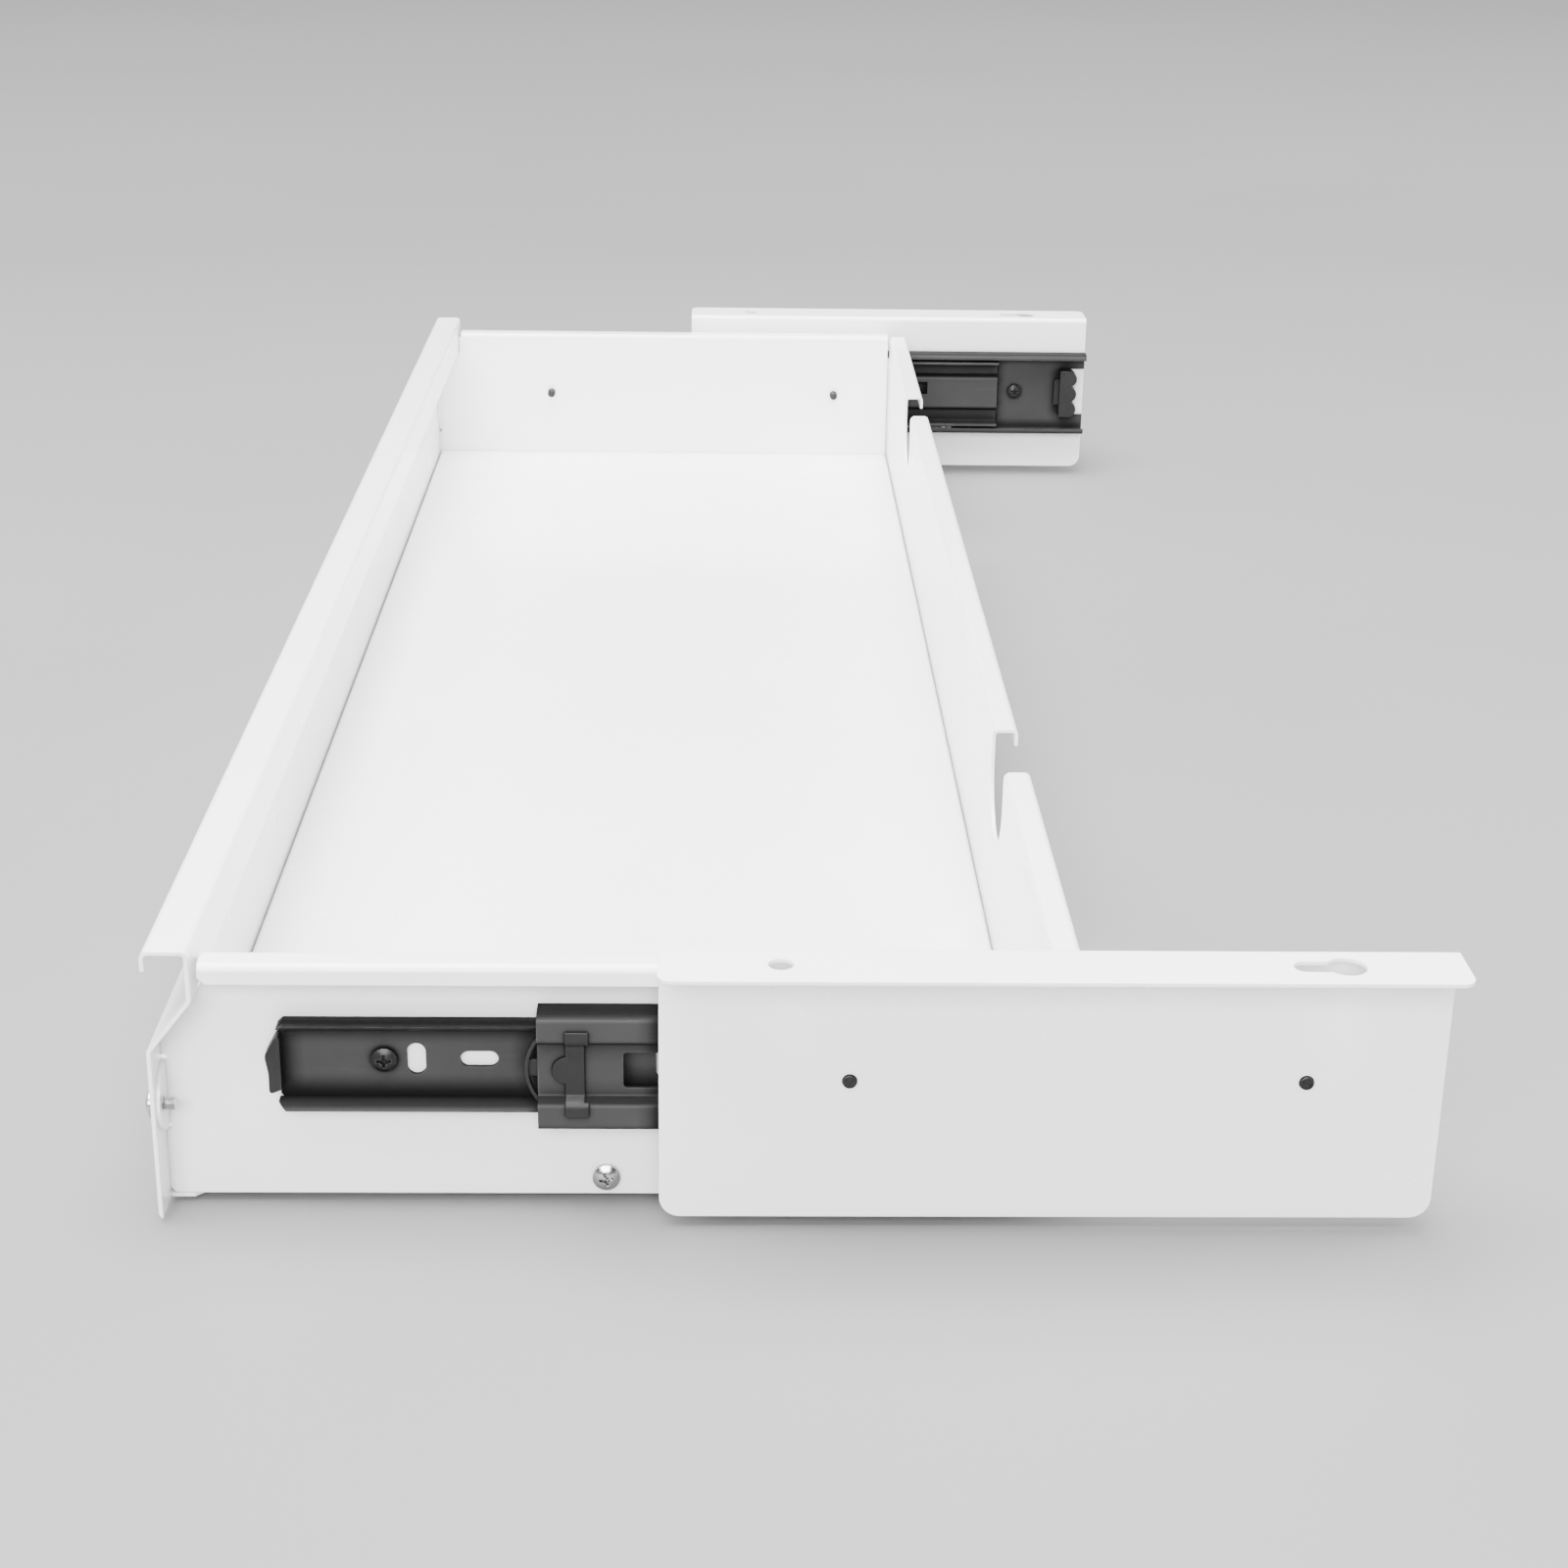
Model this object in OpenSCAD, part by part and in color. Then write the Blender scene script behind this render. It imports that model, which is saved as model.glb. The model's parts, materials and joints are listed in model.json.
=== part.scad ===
// Under-desk steel drawer on two three-member ball-bearing slides.
// X runs across the desk, the drawer opens towards -Y and Z = 0 is the underside of the desk.
// The origin is midway between the two round screw holes of the desk brackets.

/* [Drawer box] */
// Outside width of the drawer box
box_w = 800; // [500:10:1100]
// Inside depth of the drawer box, front to back
box_depth = 250; // [246:1:262]
// Height of the inside floor below the desk
floor_z = -74.7; // [-76:0.1:-72]
// Lower edge of the side and rear panels
panel_bottom = -84.7; // [-88:0.1:-82]
// Top of the rolled rims of the side and rear panels
rim_z = -8.2; // [-9:0.1:-7]
// How far the side rims stand out from the box
rim_out = 9; // [7:0.1:9.5]
// Height of the down-turned lips
lip_h = 6; // [4:0.5:8]

/* [Front panel] */
// Top of the front panel below the desk
front_top = -2.5; // [-4:0.1:-2]
// Lower edge of the front panel
front_bottom = -86.1; // [-89:0.1:-86.1]
// Depth of the pull along the top of the front panel
pull_depth = 12.1; // [10:0.1:14]
// Height at which the front starts to slant outwards
kink_top = -18; // [-20:0.5:-16]
// Height at which the slant meets the lower face
kink_bottom = -33.3; // [-36:0.1:-30]

/* [Desk brackets] */
// Length of each bracket along the slide
bracket_len = 220; // [216:1:230]
// Height of the upright plate
bracket_h = 84; // [78:1:90]
// Width of the desk flange, from the plate's inner face
flange_w = 22; // [20:0.5:26]
// Distance from the bracket's front end to the round screw hole
hole_back = 33.3; // [25:0.1:40]
// Diameter of the round screw hole
hole_d = 7; // [5:0.5:8]
// Distance between the round hole and the keyhole's large end
keyhole_pitch = 153.4; // [140:0.1:156]
// Diameter of the keyhole's large end
keyhole_d = 11; // [9:0.5:12]
// Width of the keyhole's narrow end
keyhole_slot = 6.5; // [5:0.5:7]

/* [Slides] */
// Thickness of one slide between bracket and drawer
slide_w = 12.7; // [12.7:0.1:13]
// Height of the cabinet member
slide_h = 45; // [45:0.5:46]
// Height of the slides' centre line
slide_z = -40.7; // [-42:0.1:-40]
// Length of the two moving members
member_len = 205; // [204:1:206]
// How far the drawer is pulled out as modelled
pull_out = 107; // [90:1:120]
// How far the middle members are pulled out as modelled
mid_out = 34; // [20:1:45]
// Distance between the two cabinet screws
cabinet_pitch = 128; // [96:32:128]
// Distance between the two drawer screws
drawer_pitch = 156.5; // [140:0.5:160]

/* [Sheet metal] */
// Thickness of every sheet
t = 1.2; // [1.1:0.1:1.2]
// Outside radius of the bends
bend_r = 2.2; // [1.8:0.1:2.6]

/* [Hidden] */
$fn = 48;
bend_steps = 6;
eps = 0.01;
big = 2000;

half_box = box_w / 2;
plate_in = half_box + slide_w;
plate_out = plate_in + t;
bracket_front = -hole_back;
member_front = bracket_front - pull_out;
mid_front = bracket_front - mid_out;
front_clear = 33.4;
front_in = member_front - front_clear;
front_out = front_in - t;
upper_in = front_out + pull_depth + t;
rear_in = front_in + box_depth;
rear_out = rear_in + t;
box_mid = front_in + box_depth / 2;
corner_screw_y = rear_in - 6;
hole_x = plate_out + 10.1;

// fasteners
m4 = 2;
fit = 0.05;
tab_x = half_box + 7;
tab_z = -52;
tab_r = 10;
floor_screw_z = -79;
corner_gap = 1;
corner_fold = 11;

// cable notches in the rear panel
notch_x = 240;
notch_w = 40;
notch_bottom = -40;

// slide section, measured from the bracket plate towards the drawer
cab_depth = 10;
cab_lip = 1.9;
mid_x = 2;
mid_depth = 8.6;
mid_half = 18;
mid_step = 3;
step_out = 9.7;
step_in = 8;
crest_r = 1.7;
foot_r = 0.9;
race_r = 3;
race_x = slide_w - t - race_r;
web_half = 12.6;
lip_half = 13.3;
outer_ball = 1.6;
inner_ball = 2.38;
outer_ball_x = 5.8;
outer_ball_z = slide_h / 2 - t - fit - outer_ball;
inner_ball_z = mid_half - t - fit - inner_ball;
race_z = inner_ball_z - inner_ball - fit + race_r;
strip_t = 0.7;

// places along the slide, from the front end of the member they are on
cab_screw_y = [53.2, 53.2 + cabinet_pitch];
drawer_screw_y = [29.5, 29.5 + drawer_pitch];
outer_cage = [55, 108];
inner_cage = [57, 104];
ball_count = 9;
lever_y = 122;
lever_len = 40;

// ---------- geometry helpers ----------

function unit(v) = v / norm(v);
function normal(a, b) = let (d = unit(b - a)) [-d.y, d.x];

// corner b of the path a-b-c replaced by an arc of radius r
function bend(a, b, c, r) =
    let (u = unit(a - b), v = unit(c - b), half = acos(u * v) / 2,
         centre = b + unit(u + v) * r / sin(half),
         p = b + u * r / tan(half) - centre,
         q = b + v * r / tan(half) - centre,
         start = atan2(p.y, p.x),
         sweep = (atan2(q.y, q.x) - start + 540) % 360 - 180)
    [for (i = [0:bend_steps])
        centre + r * [cos(start + sweep * i / bend_steps), sin(start + sweep * i / bend_steps)]];

// the path with every corner rounded; r is one radius, or a list of one per point
function bent_path(path, r) = concat(
    [path[0]],
    [for (i = [1:len(path) - 2])
        each bend(path[i - 1], path[i], path[i + 1], is_list(r) ? r[i] : r)],
    [path[len(path) - 1]]);

// point i of a path moved sideways by d, to the left of the direction of travel
function beside(path, i, d) =
    let (last = len(path) - 1,
         n = normal(path[max(i - 1, 0)], path[max(i, 1)]),
         m = normal(path[min(i, last - 1)], path[min(i + 1, last)]))
    path[i] + (n + m) * d / (1 + n * m);

// section of a folded sheet whose one face follows the path
module folded(path, thickness = t, r = bend_r) {
    face = r == 0 ? path : bent_path(path, r);
    last = len(face) - 1;
    polygon(concat(face, [for (i = [last:-1:0]) beside(face, i, thickness)]));
}

// a section drawn in X and Z, drawn out along Y
module along_y(y0, y1) {
    translate([0, y1, 0])
        rotate([90, 0, 0])
            linear_extrude(y1 - y0)
                children();
}

// a section drawn in Y and Z, drawn out along X
module along_x(x0, x1) {
    translate([x0, 0, 0])
        rotate([90, 0, 90])
            linear_extrude(x1 - x0)
                children();
}

module left_side() {
    mirror([1, 0, 0])
        children();
}

// places a section or body measured from the right bracket plate towards the drawer
module from_plate(y) {
    translate([plate_in, y, slide_z])
        mirror([1, 0, 0])
            children();
}

module mirror_z() {
    children();
    mirror([0, 0, 1])
        children();
}

module mirror_section() {
    children();
    mirror([0, 1])
        children();
}

// round-ended hole through a sheet that stands square to X
module slot_x(y, length, height, x0, x1) {
    r = min(length, height) / 2;
    run = abs(length - height) / 2;
    along_x(x0, x1)
        translate([y, 0]) {
            square(length > height ? [2 * run, 2 * r] : [2 * r, 2 * run], center = true);
            for (side = [-1, 1])
                translate(length > height ? [side * run, 0] : [0, side * run])
                    circle(r);
        }
}

// rounded window through a sheet that stands square to X; y and z are its lowest corner
module window_x(y, z, length, height, r, x0, x1) {
    along_x(x0, x1)
        translate([y, z]) {
            translate([r, 0])
                square([length - 2 * r, height]);
            translate([0, r])
                square([length, height - 2 * r]);
            for (u = [r, length - r], v = [r, height - r])
                translate([u, v])
                    circle(r);
        }
}

// what a rounded corner removes: the corner is at the origin, the sheet lies in +X, +Y
module corner_waste(r) {
    difference() {
        translate([-1, -1])
            square(r + 1);
        translate([r, r])
            circle(r);
    }
}

// ---------- fasteners ----------

// M4 pan head screw: head above Z = 0, shank below
module pan_screw(length, head_d = 8, head_h = 2.5) {
    dome = 6.6;
    recess = [4.2, 0.95];
    difference() {
        intersection() {
            cylinder(d = head_d, h = head_h);
            translate([0, 0, head_h - dome])
                sphere(dome);
        }
        translate([0, 0, head_h - 1.5])
            linear_extrude(2) {
                square(recess, center = true);
                square([recess.y, recess.x], center = true);
            }
        translate([0, 0, head_h - 1.9])
            cylinder(r1 = 0.5, r2 = 1.25, h = 2);
    }
    threaded_shank(length);
}

module threaded_shank(length) {
    pitch = 0.7;
    root = m4 - 0.3;
    turns = floor((length - 1) / pitch);
    rotate_extrude()
        polygon(concat(
            [[0, eps], [m4, eps], [m4, -1]],
            [for (i = [0:turns - 1]) each [[root, -1 - pitch * (i + 0.5)],
                                           [m4 - 0.02, -1 - pitch * (i + 1)]]],
            [[root, -length], [0, -length]]));
}

// ---------- desk brackets ----------

module bracket() {
    rear = bracket_front + bracket_len;
    color("white") difference() {
        along_y(bracket_front, rear)
            folded([[plate_in, -bracket_h], [plate_in, 0], [plate_in + flange_w, 0]], -t);
        // rounded lower corners of the plate
        for (end = [0, 1])
            translate([0, bracket_front + end * bracket_len, -bracket_h])
                mirror([0, end, 0])
                    along_x(plate_in - 1, plate_out + 1)
                        corner_waste(6);
        // rounded outer corners of the flange
        for (end = [0, 1])
            translate([plate_in + flange_w, bracket_front + end * bracket_len, -t - 1])
                mirror([1, 0, 0])
                    mirror([0, end, 0])
                        linear_extrude(t + 2)
                            corner_waste(4);
        // round screw hole
        translate([hole_x, 0, -t - 1])
            cylinder(d = hole_d, h = t + 2);
        // keyhole: large end at the back, narrow end towards the front
        translate([hole_x, keyhole_pitch, -t - 1])
            linear_extrude(t + 2) {
                circle(d = keyhole_d);
                translate([-keyhole_slot / 2, -11.2])
                    square([keyhole_slot, 11.2]);
                translate([0, -11.2])
                    circle(d = keyhole_slot);
            }
        // cabinet screw holes
        for (y = cab_screw_y)
            translate([plate_in - 1, bracket_front + y, slide_z])
                rotate([0, 90, 0])
                    cylinder(r = m4 + 0.2, h = t + 2);
    }
}

// ---------- cabinet member and what is fixed to it ----------

// the path and its mirror image in Y = 0, joined into one
function both_ways(path) = concat(
    [for (i = [len(path) - 1:-1:0]) [path[i].x, -path[i].y]], path);

module cabinet_section() {
    half = slide_h / 2;
    folded(both_ways([[0, half], [cab_depth, half], [cab_depth, half - t - cab_lip]]), -t);
}

module cabinet_member() {
    notch = [14, 26];
    color("#1c1c1e")
        from_plate(bracket_front)
            difference() {
                along_y(0, bracket_len)
                    cabinet_section();
                // notch for the rear buffer
                translate([-1, bracket_len - notch.x, -notch.y / 2])
                    cube([t + 2, notch.x + 1, notch.y]);
                for (y = cab_screw_y)
                    translate([-1, y, 0])
                        rotate([0, 90, 0])
                            cylinder(r = m4 + fit, h = t + 2);
                slot_x(38, 4.8, 9, -1, t + 1);
                slot_x(21, 9, 4.8, -1, t + 1);
                slot_x(102, 22, 10, -1, t + 1);
                slot_x(168, 4.8, 9, -1, t + 1);
                slot_x(150, 9, 4.8, -1, t + 1);
            }
}

module cabinet_screws() {
    color("#202022")
        from_plate(bracket_front)
            for (y = cab_screw_y)
                translate([t, y, 0])
                    rotate([0, 90, 0])
                        pan_screw(2 * t + 0.8, 7.3, 2.2);
}

// moulded stop at the back of the cabinet member, with three lobes
module rear_buffer() {
    half = 12.9;
    lobe = half / 3;
    front = bracket_len - 13.9;
    color("#0e0e0f")
        from_plate(bracket_front) {
            along_x(0.1, 8.4) {
                translate([front, -half])
                    square([5, 2 * half]);
                for (i = [-1:1])
                    translate([front + 5, 2 * i * lobe])
                        circle(lobe);
            }
            translate([t + 0.1, front - 2.6, -7])
                cube([1.6, 3, 14]);
        }
}

// ---------- intermediate member ----------

module intermediate_section() {
    folded(both_ways([[mid_x + mid_step, step_in], [mid_x, step_out], [mid_x, mid_half],
                      [mid_x + mid_depth, mid_half]]),
           -t, [0, bend_r, crest_r, foot_r, foot_r, crest_r, bend_r, 0]);
}

module intermediate_member() {
    x0 = mid_x - 1;
    x1 = mid_x + mid_step + t + 1;
    color("#1c1c1e")
        from_plate(mid_front)
            difference() {
                along_y(0, member_len)
                    intermediate_section();
                // half-round opening that holds the buffer
                along_x(x0, x1)
                    intersection() {
                        translate([8.3, 0])
                            circle(4.2);
                        translate([0, -5])
                            square([8.3, 10]);
                    }
                window_x(24, -5.5, 22, 11, 1.2, x0, x1);
                slot_x(member_len - 72.5, 4.4, 11, x0, x1);
                slot_x(member_len - 63.5, 7, 7 + eps, x0, x1);
                // stop window with a tongue left in its lower half
                translate([x0, member_len - 47, -1])
                    cube([x1 - x0, 8, 7]);
            }
}

// moulded buffer: bowed front, a foot behind the web and a strap across its outside
module intermediate_buffer() {
    strap_y = [7.9, 14.3];
    strap_t = 0.6;
    strap_half = 13.2;
    foot_x = mid_x + mid_step + t;
    bow = 16;
    color("#19191a")
        from_plate(mid_front) {
            difference() {
                along_y(strap_y[0], strap_y[1])
                    folded(both_ways([[mid_x + mid_step, step_in], [mid_x, step_out],
                                      [mid_x, strap_half]]),
                           strap_t, [0, crest_r, foot_r, foot_r, crest_r, 0]);
                // the strap is narrower between its two ends
                translate([0, strap_y[1], 0])
                    cube([20, 2.4, 18], center = true);
            }
            // peg through the half-round opening
            along_x(mid_x + mid_step - strap_t, foot_x + 1)
                intersection() {
                    translate([8.25, 0])
                        circle(4.1);
                    translate([3, -5])
                        square([5.25, 10]);
                }
            translate([foot_x + 0.1, -0.2, -6.5])
                cube([1.1, 16, 13]);
            along_x(foot_x - t, foot_x + 1.2)
                intersection() {
                    translate([bow - 3.6, 0])
                        difference() {
                            circle(bow);
                            circle(bow - 0.9);
                        }
                    translate([-5, -9.8])
                        square([5 - 0.1, 19.6]);
                }
            along_x(foot_x + 0.1, foot_x + 1.2)
                intersection() {
                    translate([bow - 3.6, 0])
                        circle(bow);
                    translate([-5, -2.5])
                        square([6, 5]);
                }
        }
}

// ---------- ball cages and balls ----------

function ball_places(cage) =
    [for (i = [0:ball_count - 1]) cage[0] + 4 + i * (cage[1] - 8) / (ball_count - 1)];

module balls(cage, r, x, z) {
    for (y = ball_places(cage), side = [-1, 1])
        translate([x, y, side * z])
            sphere(r);
}

module cage_strips(cage, r, x, z, width) {
    for (side = [-1, 1])
        difference() {
            translate([x - width / 2, cage[0], side * z - strip_t / 2])
                cube([width, cage[1], strip_t]);
            for (y = ball_places(cage))
                translate([x, y, side * z - 1])
                    cylinder(r = r, h = 2);
        }
}

module outer_ball_cage() {
    color("#9a9a9c")
        from_plate(bracket_front - mid_out / 2)
            cage_strips(outer_cage, outer_ball + 0.1, outer_ball_x, outer_ball_z, 5.2);
}

module outer_balls() {
    color("silver")
        from_plate(bracket_front - mid_out / 2)
            balls(outer_cage, outer_ball, outer_ball_x, outer_ball_z);
}

module inner_ball_cage() {
    lift = 1.2;
    grip = sqrt(inner_ball * inner_ball - lift * lift) + 0.3;
    color("#9a9a9c")
        from_plate((mid_front + member_front) / 2)
            cage_strips(inner_cage, grip, race_x, inner_ball_z + lift, 5.4);
}

module inner_balls() {
    color("silver")
        from_plate((mid_front + member_front) / 2)
            balls(inner_cage, inner_ball, race_x, inner_ball_z);
}

// ---------- drawer member and what is fixed to it ----------

module raceway() {
    intersection() {
        translate([race_x, race_z])
            difference() {
                circle(race_r + t);
                circle(race_r);
            }
        union() {
            translate([0, 5])
                square([race_x, lip_half - 5]);
            translate([race_x - eps, 5])
                square([10, web_half - 5]);
        }
    }
}

module drawer_member() {
    x0 = slide_w - t - 1;
    x1 = slide_w + 1;
    color("#1c1c1e")
        from_plate(member_front)
            difference() {
                along_y(0, member_len)
                    mirror_section() {
                        translate([slide_w - t, -eps])
                            square([t, web_half + eps]);
                        raceway();
                    }
                for (y = drawer_screw_y)
                    translate([x0, y, 0])
                        rotate([0, 90, 0])
                            cylinder(r = m4 + fit, h = t + 2);
                translate([x0, lever_y, 0])
                    rotate([0, 90, 0])
                        cylinder(r = 1.5 + fit, h = t + 2);
                slot_x(38.5, 5.3, 9.8, x0, x1);
                slot_x(56.2, 10.8, 4.9, x0, x1);
                window_x(106, -5.5, 10, 11, 1.2, x0, x1);
                slot_x(174, 9.8, 4.9, x0, x1);
                // chamfered front corners of the flanges
                mirror_z()
                    translate([0, 0, lip_half])
                        rotate([45, 0, 0])
                            cube([2 * slide_w, 3, 3], center = true);
            }
}

// moulded buffer in the front end of the drawer member, waved along its front
module drawer_member_buffer() {
    outline = [[0.8, 8], [-0.4, 8.6], [-3.6, 2.6], [-2.7, -3], [-2.7, -9.6], [0.8, -8]];
    radii = [0, 1, 3, 3, 0.8, 0];
    color("#19191a")
        from_plate(member_front) {
            along_x(slide_w - 5, slide_w - t - 0.05)
                polygon(bent_path(outline, radii));
            along_x(slide_w - t - 0.1, slide_w - 0.3)
                intersection() {
                    polygon(bent_path(outline, radii));
                    translate([-10, -20])
                        square([9.95, 40]);
                }
        }
}

module drawer_member_screws() {
    color("#202022")
        from_plate(member_front)
            for (y = drawer_screw_y)
                translate([slide_w - t, y, 0])
                    rotate([0, -90, 0])
                        pan_screw(2 * t + 4.5, 7.3, 2.2);
}

// moulded lever that frees the drawer member from the intermediate member
module release_lever() {
    x = [slide_w - t - 2.1, slide_w - t - 0.2];
    color("#0e0e0f")
        from_plate(member_front)
            translate([0, lever_y, 0])
                difference() {
                    along_x(x[0], x[1]) {
                        circle(3.6);
                        translate([0, -1.6])
                            square([lever_len, 3.2]);
                        translate([lever_len, 0])
                            circle(4.2);
                        translate([8, -3.4])
                            square([7, 6.8]);
                    }
                    translate([x[0] - 1, 0, 0])
                        rotate([0, 90, 0])
                            cylinder(r = 1.5 + fit, h = 4);
                }
}

module lever_rivet() {
    head_x = slide_w - t - 2.9;
    color("#8c8c8e")
        from_plate(member_front)
            translate([head_x, lever_y, 0])
                rotate([0, 90, 0]) {
                    cylinder(r = 2.6, h = 0.6);
                    cylinder(r = 1.5, h = 2.9 + t);
                }
}

// ---------- drawer box ----------

// everything in front of the front panel's inner face, seen from the side
module front_side_waste() {
    gap = 0.3;
    polygon([[front_in - 20, 0], [upper_in + gap, 0], [upper_in + gap, kink_top - gap],
             [front_in, kink_bottom - gap], [front_in, -100], [front_in - 20, -100]]);
}

module side_panel() {
    rim_front = upper_in + 1.3;
    panel_rear = rear_in - corner_gap;
    color("white")
        difference() {
            union() {
                // upright wall with its rolled rim
                along_y(rim_front, panel_rear)
                    folded([[half_box - t, panel_bottom], [half_box - t, rim_z],
                            [half_box + rim_out, rim_z],
                            [half_box + rim_out, rim_z - lip_h]], -t);
                // wall in front of the rim
                translate([half_box - t, front_in, panel_bottom])
                    cube([t, rim_front - front_in + 1, rim_z - bend_r - panel_bottom]);
                // front tab, folded outwards
                translate([0, front_in, tab_z])
                    along_y(0, t)
                        union() {
                            translate([half_box + 11.5 - tab_r, 0])
                                circle(tab_r);
                            translate([half_box - t, -tab_r])
                                square([t + 11.5 - tab_r, 2 * tab_r]);
                        }
            }
            along_x(0, big)
                front_side_waste();
            // rounded lower front corner
            translate([0, front_in, panel_bottom])
                along_x(half_box - 2 * t, half_box + t)
                    corner_waste(2.5);
            // chamfered front end of the lip
            translate([half_box + rim_out, rim_front, rim_z - lip_h])
                rotate([45, 0, 0])
                    cube([8, 3, 3], center = true);
            screw_hole_y([tab_x, front_in, tab_z]);
            for (y = drawer_screw_y)
                screw_hole_x([half_box, member_front + y, slide_z]);
            for (y = [box_mid, corner_screw_y])
                screw_hole_x([half_box, y, floor_screw_z]);
            // reliefs at both ends of the front tab's bend
            for (side = [-1, 1])
                translate([half_box, front_in + 0.7, tab_z + side * (tab_r + 0.9)])
                    rotate([0, 90, 0])
                        cylinder(r = 1, h = 4 * t, center = true);
        }
}

module screw_hole_x(place) {
    translate(place)
        rotate([0, 90, 0])
            cylinder(r = m4 + fit, h = 20, center = true);
}

module screw_hole_y(place) {
    translate(place)
        rotate([90, 0, 0])
            cylinder(r = m4 + fit, h = 20, center = true);
}

module front_panel() {
    fold = 9.2;
    chamfer = 2.5;
    section = [[front_out, front_top - lip_h], [front_out, front_top], [upper_in, front_top],
               [upper_in, kink_top], [front_in, kink_bottom], [front_in, front_bottom + t],
               [front_in + fold, front_bottom + t]];
    radii = [0, bend_r, bend_r, bend_r, 1, 1, 0];
    color("white")
        difference() {
            along_x(-plate_in, plate_in)
                folded(section, -t, radii);
            // the flange under the box stops at the box's sides, with chamfered ends
            for (side = [0, 1])
                mirror([side, 0, 0])
                    translate([0, 0, front_bottom - 1])
                        linear_extrude(t + 3)
                            polygon([[half_box - chamfer, front_in + fold],
                                     [half_box, front_in + fold - chamfer],
                                     [half_box, front_in], [plate_in + 1, front_in],
                                     [plate_in + 1, front_in + fold + 1],
                                     [half_box - chamfer, front_in + fold + 1]]);
            for (side = [-1, 1])
                screw_hole_y([side * tab_x, front_in, tab_z]);
        }
}

module rear_panel() {
    reach = 8.9;
    color("white")
        difference() {
            union() {
                along_x(-half_box, half_box)
                    folded([[rear_in, panel_bottom], [rear_in, rim_z], [rear_in + reach, rim_z],
                            [rear_in + reach, rim_z - lip_h]], -t);
                // ends folded forwards, round the outside of the side panels
                for (side = [0, 1])
                    mirror([side, 0, 0])
                        translate([0, 0, panel_bottom])
                            linear_extrude(rim_z - 12 - panel_bottom)
                                folded([[half_box - 5, rear_out], [half_box + t, rear_out],
                                        [half_box + t, rear_in - corner_fold]], -t);
            }
            for (side = [-1, 1])
                translate([side * notch_x, rear_in - 1, 0])
                    along_y(0, reach + 3)
                        cable_notch();
            for (side = [-1, 1])
                screw_hole_x([side * half_box, corner_screw_y, floor_screw_z]);
        }
}

// U-shaped cut from the rim down
module cable_notch() {
    r = notch_w / 2;
    translate([0, notch_bottom + r])
        circle(r);
    translate([-r, notch_bottom + r])
        square([notch_w, rim_z - notch_bottom - r + 1]);
}

module floor_panel() {
    half = half_box - t;
    front = front_in + 0.3;
    rear = rear_in - 0.15;
    color("white")
        difference() {
            union() {
                along_x(-half, half)
                    folded([[front, panel_bottom + 0.2], [front, floor_z], [rear, floor_z],
                            [rear, panel_bottom + 0.2]], -t);
                for (side = [-1, 1])
                    translate([side * (half - t / 2) - t / 2, front + bend_r, panel_bottom + 0.2])
                        cube([t, rear - front - 2 * bend_r, floor_z - panel_bottom - 0.4]);
            }
            for (side = [-1, 1], y = [box_mid, corner_screw_y])
                screw_hole_x([side * half_box, y, floor_screw_z]);
        }
}

// ---------- drawer box screws ----------

module front_panel_screws() {
    color("silver")
        for (side = [-1, 1])
            translate([side * tab_x, front_out, tab_z])
                rotate([90, 0, 0])
                    pan_screw(6);
}

module floor_screws() {
    color("silver")
        for (side = [-1, 1])
            translate([side * half_box, box_mid, floor_screw_z])
                rotate([0, side * 90, 0])
                    rotate([0, 0, 12])
                        pan_screw(7);
}

module rear_corner_screws() {
    color("silver")
        for (side = [-1, 1])
            translate([side * (half_box + t), corner_screw_y, floor_screw_z])
                rotate([0, side * 90, 0])
                    rotate([0, 0, 35])
                        pan_screw(7);
}

// ---------- nodes ----------

bracket();  // right_bracket
left_side() bracket();  // left_bracket
cabinet_member();  // right_cabinet_member
left_side() cabinet_member();  // left_cabinet_member
cabinet_screws();  // right_cabinet_screws
left_side() cabinet_screws();  // left_cabinet_screws
rear_buffer();  // right_rear_buffer
left_side() rear_buffer();  // left_rear_buffer
intermediate_member();  // right_intermediate_member
left_side() intermediate_member();  // left_intermediate_member
intermediate_buffer();  // right_intermediate_buffer
left_side() intermediate_buffer();  // left_intermediate_buffer
outer_ball_cage();  // right_outer_ball_cage
left_side() outer_ball_cage();  // left_outer_ball_cage
outer_balls();  // right_outer_balls
left_side() outer_balls();  // left_outer_balls
inner_ball_cage();  // right_inner_ball_cage
left_side() inner_ball_cage();  // left_inner_ball_cage
inner_balls();  // right_inner_balls
left_side() inner_balls();  // left_inner_balls
drawer_member();  // right_drawer_member
left_side() drawer_member();  // left_drawer_member
drawer_member_screws();  // right_drawer_member_screws
left_side() drawer_member_screws();  // left_drawer_member_screws
drawer_member_buffer();  // right_drawer_member_buffer
left_side() drawer_member_buffer();  // left_drawer_member_buffer
release_lever();  // right_release_lever
left_side() release_lever();  // left_release_lever
lever_rivet();  // right_lever_rivet
left_side() lever_rivet();  // left_lever_rivet
side_panel();  // right_side_panel
left_side() side_panel();  // left_side_panel
front_panel();
rear_panel();
floor_panel();
front_panel_screws();
floor_screws();
rear_corner_screws();
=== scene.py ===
import json
import math

import bmesh
import bpy
from mathutils import Matrix, Vector


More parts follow.
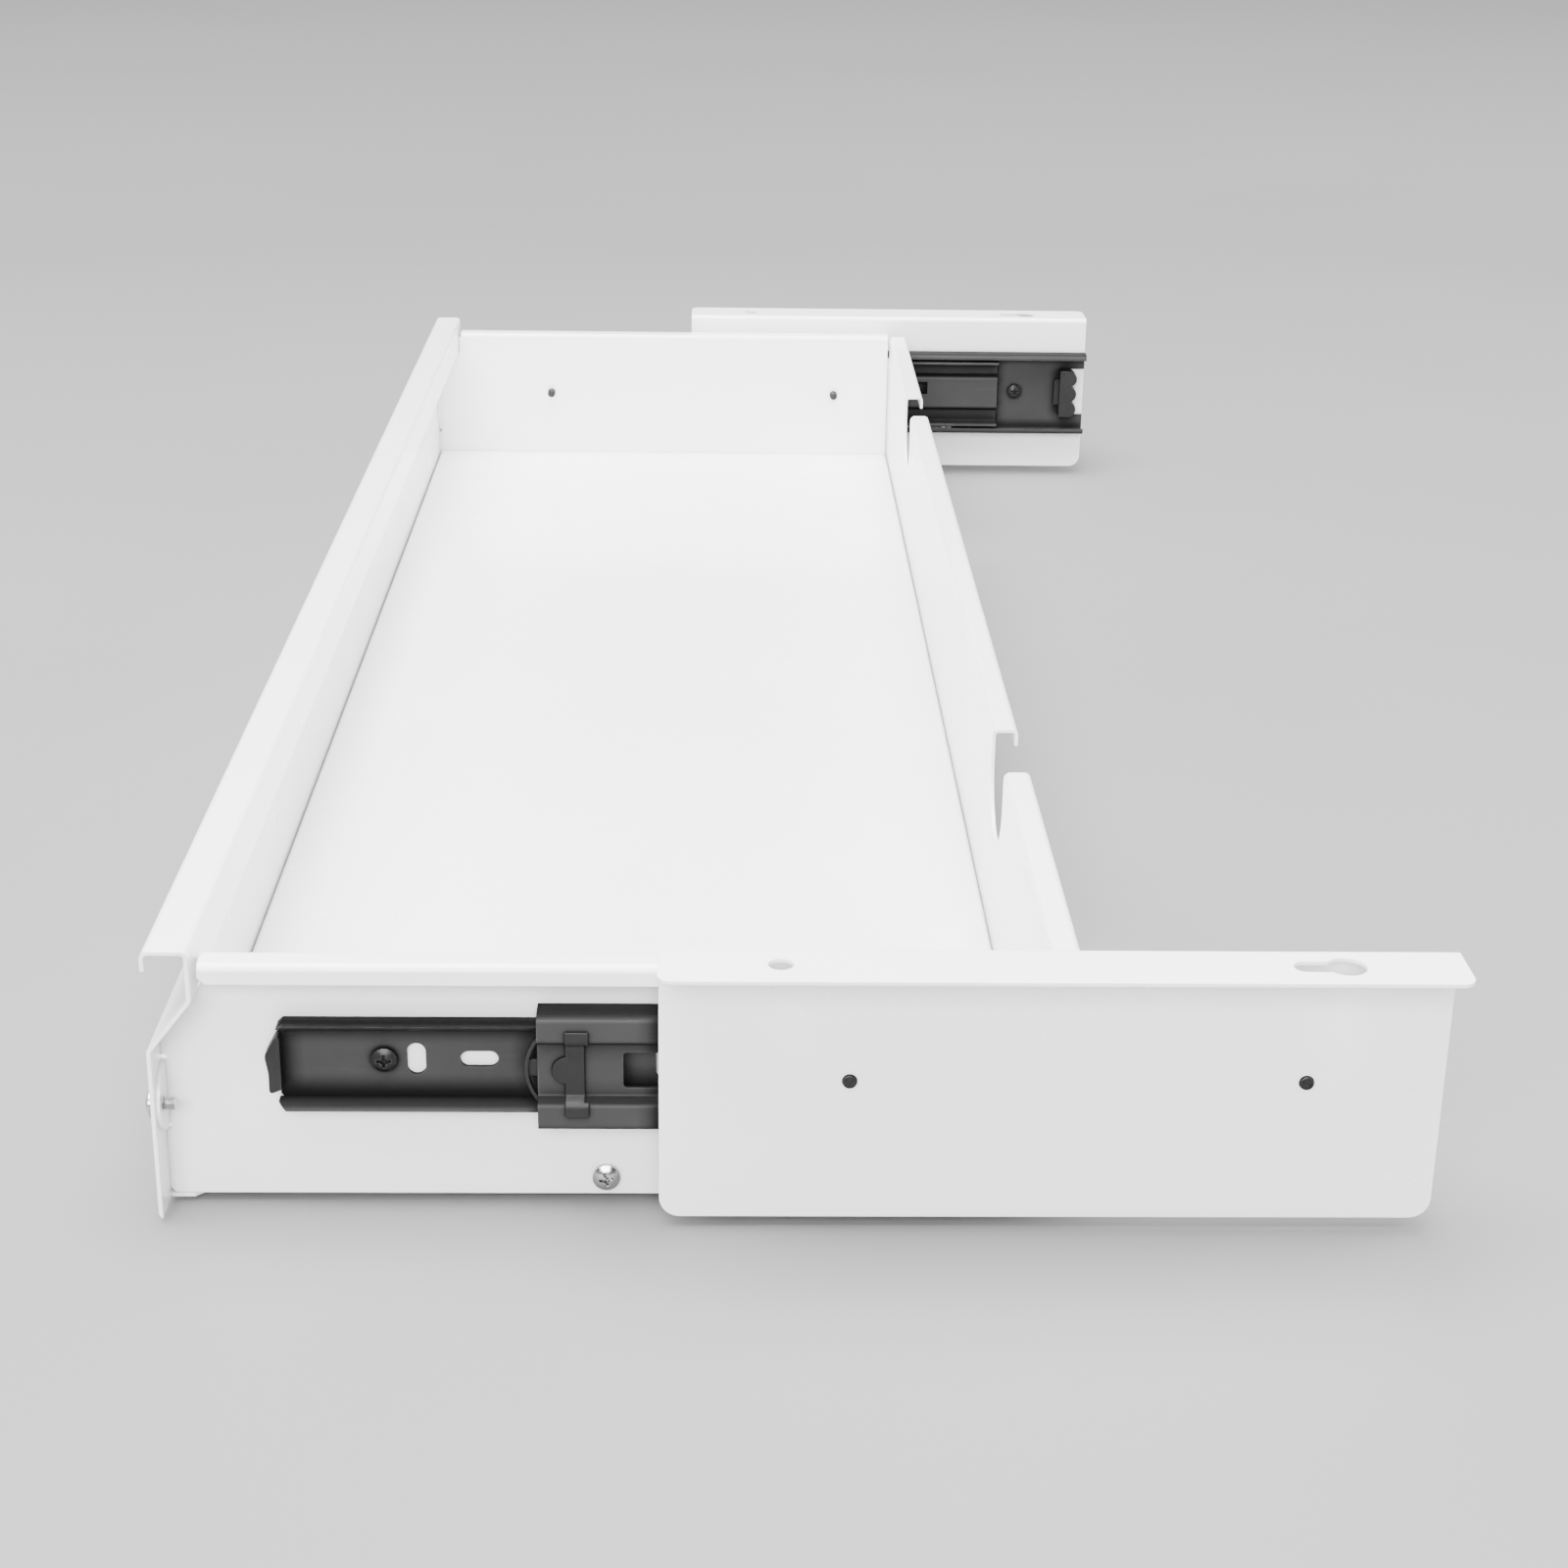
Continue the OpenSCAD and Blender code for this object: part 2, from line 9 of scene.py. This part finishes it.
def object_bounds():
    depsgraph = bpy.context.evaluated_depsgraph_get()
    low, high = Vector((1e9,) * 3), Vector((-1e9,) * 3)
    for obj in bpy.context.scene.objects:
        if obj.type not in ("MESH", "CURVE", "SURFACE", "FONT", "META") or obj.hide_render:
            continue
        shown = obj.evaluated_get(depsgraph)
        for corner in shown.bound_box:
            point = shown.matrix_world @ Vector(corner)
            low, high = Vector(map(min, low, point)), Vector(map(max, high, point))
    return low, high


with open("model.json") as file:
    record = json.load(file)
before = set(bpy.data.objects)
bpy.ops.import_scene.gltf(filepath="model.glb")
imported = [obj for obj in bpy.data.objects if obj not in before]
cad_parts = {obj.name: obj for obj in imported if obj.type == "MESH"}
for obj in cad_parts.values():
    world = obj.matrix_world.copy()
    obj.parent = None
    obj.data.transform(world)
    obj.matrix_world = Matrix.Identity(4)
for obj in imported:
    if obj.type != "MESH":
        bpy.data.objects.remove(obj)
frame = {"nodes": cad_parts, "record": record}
cad_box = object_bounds()
nodes = frame["nodes"]

# X = 0 is midway between the desk brackets, Y = 0 is at the round flange holes, Z = 0 is the desk
MM = 0.001
FLOOR_GAP = 1.5 * MM
FLOOR_Z = cad_box[0][2] - FLOOR_GAP


# ---------------------------------------------------------------- materials

class Nodes:
    """A material's node tree, with short calls for the nodes used here."""

    BEVEL_SAMPLES = 6
    CREVICE_SAMPLES = 6

    def __init__(self, name):
        self.mat = bpy.data.materials.new(name)
        self.mat.use_nodes = True
        self.tree = self.mat.node_tree
        self.bsdf = self.tree.nodes["Principled BSDF"]
        self.place = self.tree.nodes.new("ShaderNodeTexCoord").outputs["Object"]

    def add(self, kind, settings=(), **inputs):
        node = self.tree.nodes.new(kind)
        for key, value in dict(settings).items():
            setattr(node, key, value)
        for key, value in inputs.items():
            self.feed(node.inputs[key.replace("_", " ")], value)
        return node

    def feed(self, socket, value):
        if isinstance(value, bpy.types.NodeSocket):
            self.tree.links.new(value, socket)
        else:
            socket.default_value = value

    def set(self, **inputs):
        """Feeds the Principled shader's own sockets."""
        for key, value in inputs.items():
            self.feed(self.bsdf.inputs[key.replace("_", " ")], value)

    def stretched(self, scale):
        return self.add("ShaderNodeMapping", Vector=self.place, Scale=scale).outputs[0]

    def noise(self, scale, detail=4.0, rough=0.55, vector=None):
        return self.add("ShaderNodeTexNoise", Vector=vector or self.place, Scale=scale, Detail=detail,
                        Roughness=rough).outputs["Fac"]

    def cells(self, scale):
        return self.add("ShaderNodeTexVoronoi", Vector=self.place, Scale=scale).outputs["Distance"]

    def span(self, value, low, high, out_low=0.0, out_high=1.0):
        """Maps low..high to out_low..out_high, and holds the ends."""
        node = self.add("ShaderNodeMapRange", Value=value)
        for i, v in enumerate((low, high, out_low, out_high)):
            node.inputs[1 + i].default_value = v
        return node.outputs[0]

    def maths(self, kind, a, b=0.0):
        node = self.add("ShaderNodeMath", {"operation": kind})
        self.feed(node.inputs[0], a)
        self.feed(node.inputs[1], b)
        return node.outputs[0]

    def times(self, a, b):
        return self.maths("MULTIPLY", a, b)

    def plus(self, a, b):
        return self.maths("ADD", a, b)

    def mix(self, fac, a, b):
        """Blends two colours: on a Mix node set to colour, 6 and 7 are its colour inputs."""
        node = self.add("ShaderNodeMix", {"data_type": "RGBA"})
        self.feed(node.inputs[0], fac)
        self.feed(node.inputs[6], a)
        self.feed(node.inputs[7], b)
        return node.outputs[2]

    def bump(self, height, strength, distance, after=None):
        node = self.add("ShaderNodeBump", Height=height, Strength=strength, Distance=distance)
        if after:
            self.feed(node.inputs["Normal"], after)
        return node.outputs[0]

    def rounded(self, radius):
        return self.add("ShaderNodeBevel", {"samples": self.BEVEL_SAMPLES}, Radius=radius).outputs[0]

    def crevice_shade(self, distance, start=0.95, full=0.35):
        """1 in corners and gaps closer than distance, 0 on open faces: the mask for painted shade."""
        node = self.add("ShaderNodeAmbientOcclusion", {"samples": self.CREVICE_SAMPLES}, Distance=distance)
        return self.span(node.outputs["AO"], start, full)

    def flat_normal(self):
        return self.add("ShaderNodeNewGeometry").outputs["Normal"]

    def edges(self, radius):
        """1 near a convex edge, 0 on open faces."""
        dot = self.add("ShaderNodeVectorMath", {"operation": "DOT_PRODUCT"})
        self.feed(dot.inputs[0], self.flat_normal())
        self.feed(dot.inputs[1], self.rounded(radius))
        return self.span(dot.outputs["Value"], 0.995, 0.80)

    def flat_faces(self, low, high):
        """1 on faces that look up or down in the part's own frame, 0 on upright ones."""
        to_part = {"vector_type": "NORMAL", "convert_from": "WORLD", "convert_to": "OBJECT"}
        turn = self.add("ShaderNodeVectorTransform", to_part)
        self.feed(turn.inputs[0], self.flat_normal())
        lean = self.add("ShaderNodeSeparateXYZ", Vector=turn.outputs[0]).outputs["Z"]
        return self.span(self.maths("ABSOLUTE", lean), low, high)


def grey(v, warm=0.0):
    return (v * (1 + warm), v, v * (1 - warm), 1.0)


def powder_coat():
    """White powder coat: a faint orange peel, a little dust, a painted highlight on the edges and painted
    shade in the corners.
    """
    n = Nodes("white_powder_coat")
    peel = n.noise(900, 3, 0.5)
    orange = n.noise(260, 2, 0.5)
    cloud = n.noise(9, 3, 0.6)
    edge = n.edges(0.9 * MM)
    dust = n.span(n.noise(60, 5, 0.7), 0.55, 0.8)
    colour = n.mix(n.span(cloud, 0.3, 0.7), grey(0.88), grey(0.91))
    # painted highlight: the convex edges are painted paler
    colour = n.mix(n.times(edge, 0.4), colour, grey(0.94))
    colour = n.mix(n.times(dust, 0.05), colour, grey(0.55))
    # painted shade: corners and gaps are painted darker
    colour = n.mix(n.times(n.crevice_shade(2.2 * MM), 0.35), colour, grey(0.42))
    rough = n.span(cloud, 0.3, 0.7, 0.20, 0.27)
    rough = n.plus(rough, n.times(dust, 0.08))
    height = n.plus(n.times(orange, 0.7), n.times(peel, 0.3))
    n.set(Base_Color=colour, Roughness=rough, Normal=n.bump(height, 0.10, 0.3 * MM, n.rounded(0.5 * MM)))
    n.set(Coat_Weight=0.3, Coat_Roughness=0.10, Specular_IOR_Level=0.5)
    return n.mat


def slide_coat():
    """Black coat on rolled strip: the grain runs along the slide, which is along Y."""
    n = Nodes("black_electro_coat")
    rolled = n.noise(60, 5, 0.6, n.stretched((9, 0.35, 9)))
    grain = n.noise(1400, 2, 0.5)
    cloud = n.noise(22, 4, 0.6)
    edge = n.edges(0.7 * MM)
    rub = n.span(n.noise(240, 4, 0.65, n.stretched((1, 0.12, 1))), 0.56, 0.74)
    wear = n.times(edge, n.span(n.noise(170, 3, 0.6), 0.4, 0.62))
    # painted shade: the faces that look up or down, the folded edges and the ball races, are painted
    # darker and made rougher than the webs, and so are deep recesses
    flat_face_shade = n.flat_faces(0.30, 0.75)
    painted_shade = n.maths("MAXIMUM", n.times(flat_face_shade, 0.9), n.crevice_shade(6.5 * MM, 0.95, 0.72))
    colour = n.mix(n.span(cloud, 0.3, 0.7), grey(0.030), grey(0.038))
    colour = n.mix(n.times(rub, 0.20), colour, grey(0.060))
    colour = n.mix(n.times(wear, 0.40), colour, grey(0.16))
    # painted shade: flat faces and recesses go near black
    colour = n.mix(painted_shade, colour, grey(0.0015))
    rough = n.span(rolled, 0.3, 0.7, 0.30, 0.40)
    rough = n.plus(rough, n.times(painted_shade, 0.40))
    height = n.plus(n.times(rolled, 0.5), n.times(grain, 0.5))
    n.set(Base_Color=colour, Roughness=rough, Specular_IOR_Level=0.16,
          Normal=n.bump(height, 0.14, 0.1 * MM, n.rounded(0.3 * MM)))
    return n.mat


def black_screw():
    n = Nodes("black_zinc_screw")
    cloud = n.noise(700, 4, 0.6)
    edge = n.edges(0.3 * MM)
    colour = n.mix(n.span(cloud, 0.35, 0.65), grey(0.012), grey(0.028))
    # painted highlight: the edges are painted paler
    colour = n.mix(n.times(edge, 0.5), colour, grey(0.20))
    # painted shade: the recess and corners are painted near black
    colour = n.mix(n.crevice_shade(1.2 * MM), colour, grey(0.002))
    n.set(Base_Color=colour, Roughness=n.span(cloud, 0.3, 0.7, 0.28, 0.46), Metallic=0.7,
          Normal=n.bump(n.noise(2600, 2), 0.25, 0.04 * MM, n.rounded(0.18 * MM)))
    return n.mat


def bright_screw():
    n = Nodes("bright_nickel_screw")
    cloud = n.noise(900, 4, 0.6)
    spun = n.noise(1500, 3, 0.6)
    edge = n.edges(0.3 * MM)
    colour = n.mix(n.span(cloud, 0.35, 0.7), grey(0.44), grey(0.58))
    # painted highlight: the edges are painted near white
    colour = n.mix(n.times(edge, 0.8), colour, grey(0.95))
    # painted shade: the recess and corners are painted near black
    colour = n.mix(n.crevice_shade(1.0 * MM), colour, grey(0.02))
    n.set(Base_Color=colour, Roughness=n.span(spun, 0.3, 0.7, 0.12, 0.24), Metallic=1.0,
          Normal=n.bump(n.noise(3000, 2), 0.18, 0.04 * MM, n.rounded(0.18 * MM)))
    return n.mat


def moulded_plastic():
    n = Nodes("black_moulded_plastic")
    grain = n.cells(2600)
    cloud = n.noise(120, 4, 0.6)
    edge = n.edges(0.5 * MM)
    colour = n.mix(n.span(cloud, 0.3, 0.7), grey(0.006), grey(0.011))
    # painted highlight: the edges are painted lighter
    colour = n.mix(n.times(edge, 0.35), colour, grey(0.06))
    # painted shade: corners and gaps are painted darker
    colour = n.mix(n.times(n.crevice_shade(1.2 * MM), 0.8), colour, grey(0.004))
    n.set(Base_Color=colour, Roughness=n.span(cloud, 0.3, 0.7, 0.42, 0.58), Specular_IOR_Level=0.30,
          Normal=n.bump(grain, 0.25, 0.06 * MM, n.rounded(0.4 * MM)))
    return n.mat


def plated_strip():
    """Zinc-plated cage strip, brushed along the slide and smeared with grease."""
    n = Nodes("zinc_plated_strip")
    brushed = n.noise(300, 4, 0.6, n.stretched((6, 0.3, 6)))
    cloud = n.noise(80, 4, 0.6)
    grease = n.span(n.noise(140, 5, 0.7), 0.52, 0.7)
    colour = n.mix(n.span(cloud, 0.3, 0.7), grey(0.42), grey(0.55))
    colour = n.mix(n.times(grease, 0.4), colour, grey(0.16, 0.12))
    rough = n.span(brushed, 0.3, 0.7, 0.26, 0.44)
    n.set(Base_Color=colour, Roughness=rough, Metallic=0.9,
          Normal=n.bump(brushed, 0.2, 0.05 * MM, n.rounded(0.15 * MM)))
    return n.mat


def greased_ball():
    n = Nodes("greased_steel_ball")
    grease = n.span(n.noise(260, 5, 0.7), 0.5, 0.68)
    colour = n.mix(n.times(grease, 0.5), grey(0.62), grey(0.2, 0.12))
    n.set(Base_Color=colour, Roughness=n.span(grease, 0, 1, 0.09, 0.35), Metallic=1.0,
          Normal=n.bump(n.noise(900, 3), 0.08, 0.04 * MM))
    n.set(Coat_Weight=0.3, Coat_Roughness=0.1)
    return n.mat


finishes = {
    "white_coat": powder_coat(),
    "slide_black": slide_coat(),
    "screw_black": black_screw(),
    "screw_chrome": bright_screw(),
    "buffer_plastic": moulded_plastic(),
    "cage_steel": plated_strip(),
    "ball_steel": greased_ball(),
}

slot_of = {row["node"]: row["material_slot"] for row in frame["record"]["subparts"]}
for name, obj in nodes.items():
    obj.data.materials.clear()
    obj.data.materials.append(finishes[slot_of[name]])


# ---------------------------------------------------------------- studio

def studio_surface():
    n = Nodes("studio_floor")
    # paler away from the lamps, so that the floor looks even out to the horizon
    reach = n.add("ShaderNodeVectorMath", {"operation": "LENGTH"})
    n.feed(reach.inputs[0], n.place)
    far = n.span(reach.outputs["Value"], 1.2, 6.0)
    near = n.mix(n.span(n.noise(3, 3, 0.5), 0.3, 0.7), grey(0.19), grey(0.20))
    n.set(Base_Color=n.mix(far, near, grey(0.62)), Roughness=0.6)
    return n.mat


def studio_floor():
    reach = 14.0
    cells = 8
    mesh = bmesh.new()
    bmesh.ops.create_grid(mesh, x_segments=cells, y_segments=cells, size=reach,
                          matrix=Matrix.Translation((0, 0, FLOOR_Z)))
    data = bpy.data.meshes.new("floor")
    mesh.to_mesh(data)
    mesh.free()
    floor = bpy.data.objects.new("floor", data)
    bpy.context.collection.objects.link(floor)
    data.materials.append(studio_surface())


studio_floor()


def soft_light(name, at, towards, size, watts):
    lamp = bpy.data.lights.new(name, "AREA")
    lamp.shape = "RECTANGLE"
    lamp.size, lamp.size_y = size
    lamp.energy = watts
    obj = bpy.data.objects.new(name, lamp)
    obj.location = at
    obj.rotation_euler = (Vector(towards) - Vector(at)).to_track_quat("-Z", "Y").to_euler()
    bpy.context.collection.objects.link(obj)


soft_light("key", (0.2, -0.2, 2.4), (0, 0, 0), (2.0, 2.6), 390)
soft_light("side", (2.4, -0.3, 1.1), (0.3, 0, -0.05), (1.8, 1.0), 125)
soft_light("front", (0.2, -2.4, 0.8), (0, 0, -0.05), (2.4, 1.0), 40)
soft_light("back", (-0.2, 2.4, 1.2), (0, 0, -0.05), (2.4, 1.0), 62)


def studio_world():
    """Pale at the horizon, dim above it as a dark studio wall, bright overhead."""
    strength = 1.3
    # height of the view line, 0 at the horizon and 1 overhead, and the brightness there
    stops = [(0.0, 0.50), (0.06, 0.42), (0.20, 0.10), (0.55, 0.14), (0.80, 0.9), (1.0, 1.0)]
    world = bpy.data.worlds.new("studio")
    world.use_nodes = True
    tree = world.node_tree
    up = tree.nodes.new("ShaderNodeSeparateXYZ")
    tree.links.new(tree.nodes.new("ShaderNodeTexCoord").outputs["Generated"], up.inputs[0])
    ramp = tree.nodes.new("ShaderNodeValToRGB")
    tree.links.new(up.outputs["Z"], ramp.inputs["Fac"])
    points = ramp.color_ramp.elements
    while len(points) < len(stops):
        points.new(0.5)
    for point, (at, level) in zip(points, stops):
        point.position = at
        point.color = grey(level)
    tree.links.new(ramp.outputs["Color"], tree.nodes["Background"].inputs["Color"])
    tree.nodes["Background"].inputs["Strength"].default_value = strength
    bpy.context.scene.world = world


studio_world()


# ---------------------------------------------------------------- camera

def place_camera():
    """Stands off the drawer's right-hand end, looking along the drawer and down on it."""
    yaw, pitch, roll = 0.0263, 0.3776, 0.0157
    focal_px, image_px = 2771.2, 1600.0
    sensor_mm = 36.0
    near = 0.02
    # the front corner of the near desk bracket's plate, and the camera's place from it
    corner = Vector((0.4139, -0.0333, 0.0))
    stand = corner + Vector((0.6724, 0.0159, 0.3151))
    forward = Vector((-math.cos(yaw) * math.cos(pitch), math.sin(yaw) * math.cos(pitch), -math.sin(pitch)))
    level_right = forward.cross(Vector((0, 0, 1))).normalized()
    level_up = level_right.cross(forward)
    right = level_right * math.cos(roll) + level_up * math.sin(roll)
    up = level_up * math.cos(roll) - level_right * math.sin(roll)
    data = bpy.data.cameras.new("camera")
    data.sensor_width = sensor_mm
    data.lens = sensor_mm * focal_px / image_px
    data.clip_start = near
    cam = bpy.data.objects.new("camera", data)
    axes = Matrix((right, up, -forward)).transposed().to_4x4()
    cam.matrix_world = Matrix.Translation(stand) @ axes
    bpy.context.collection.objects.link(cam)
    bpy.context.scene.camera = cam


place_camera()
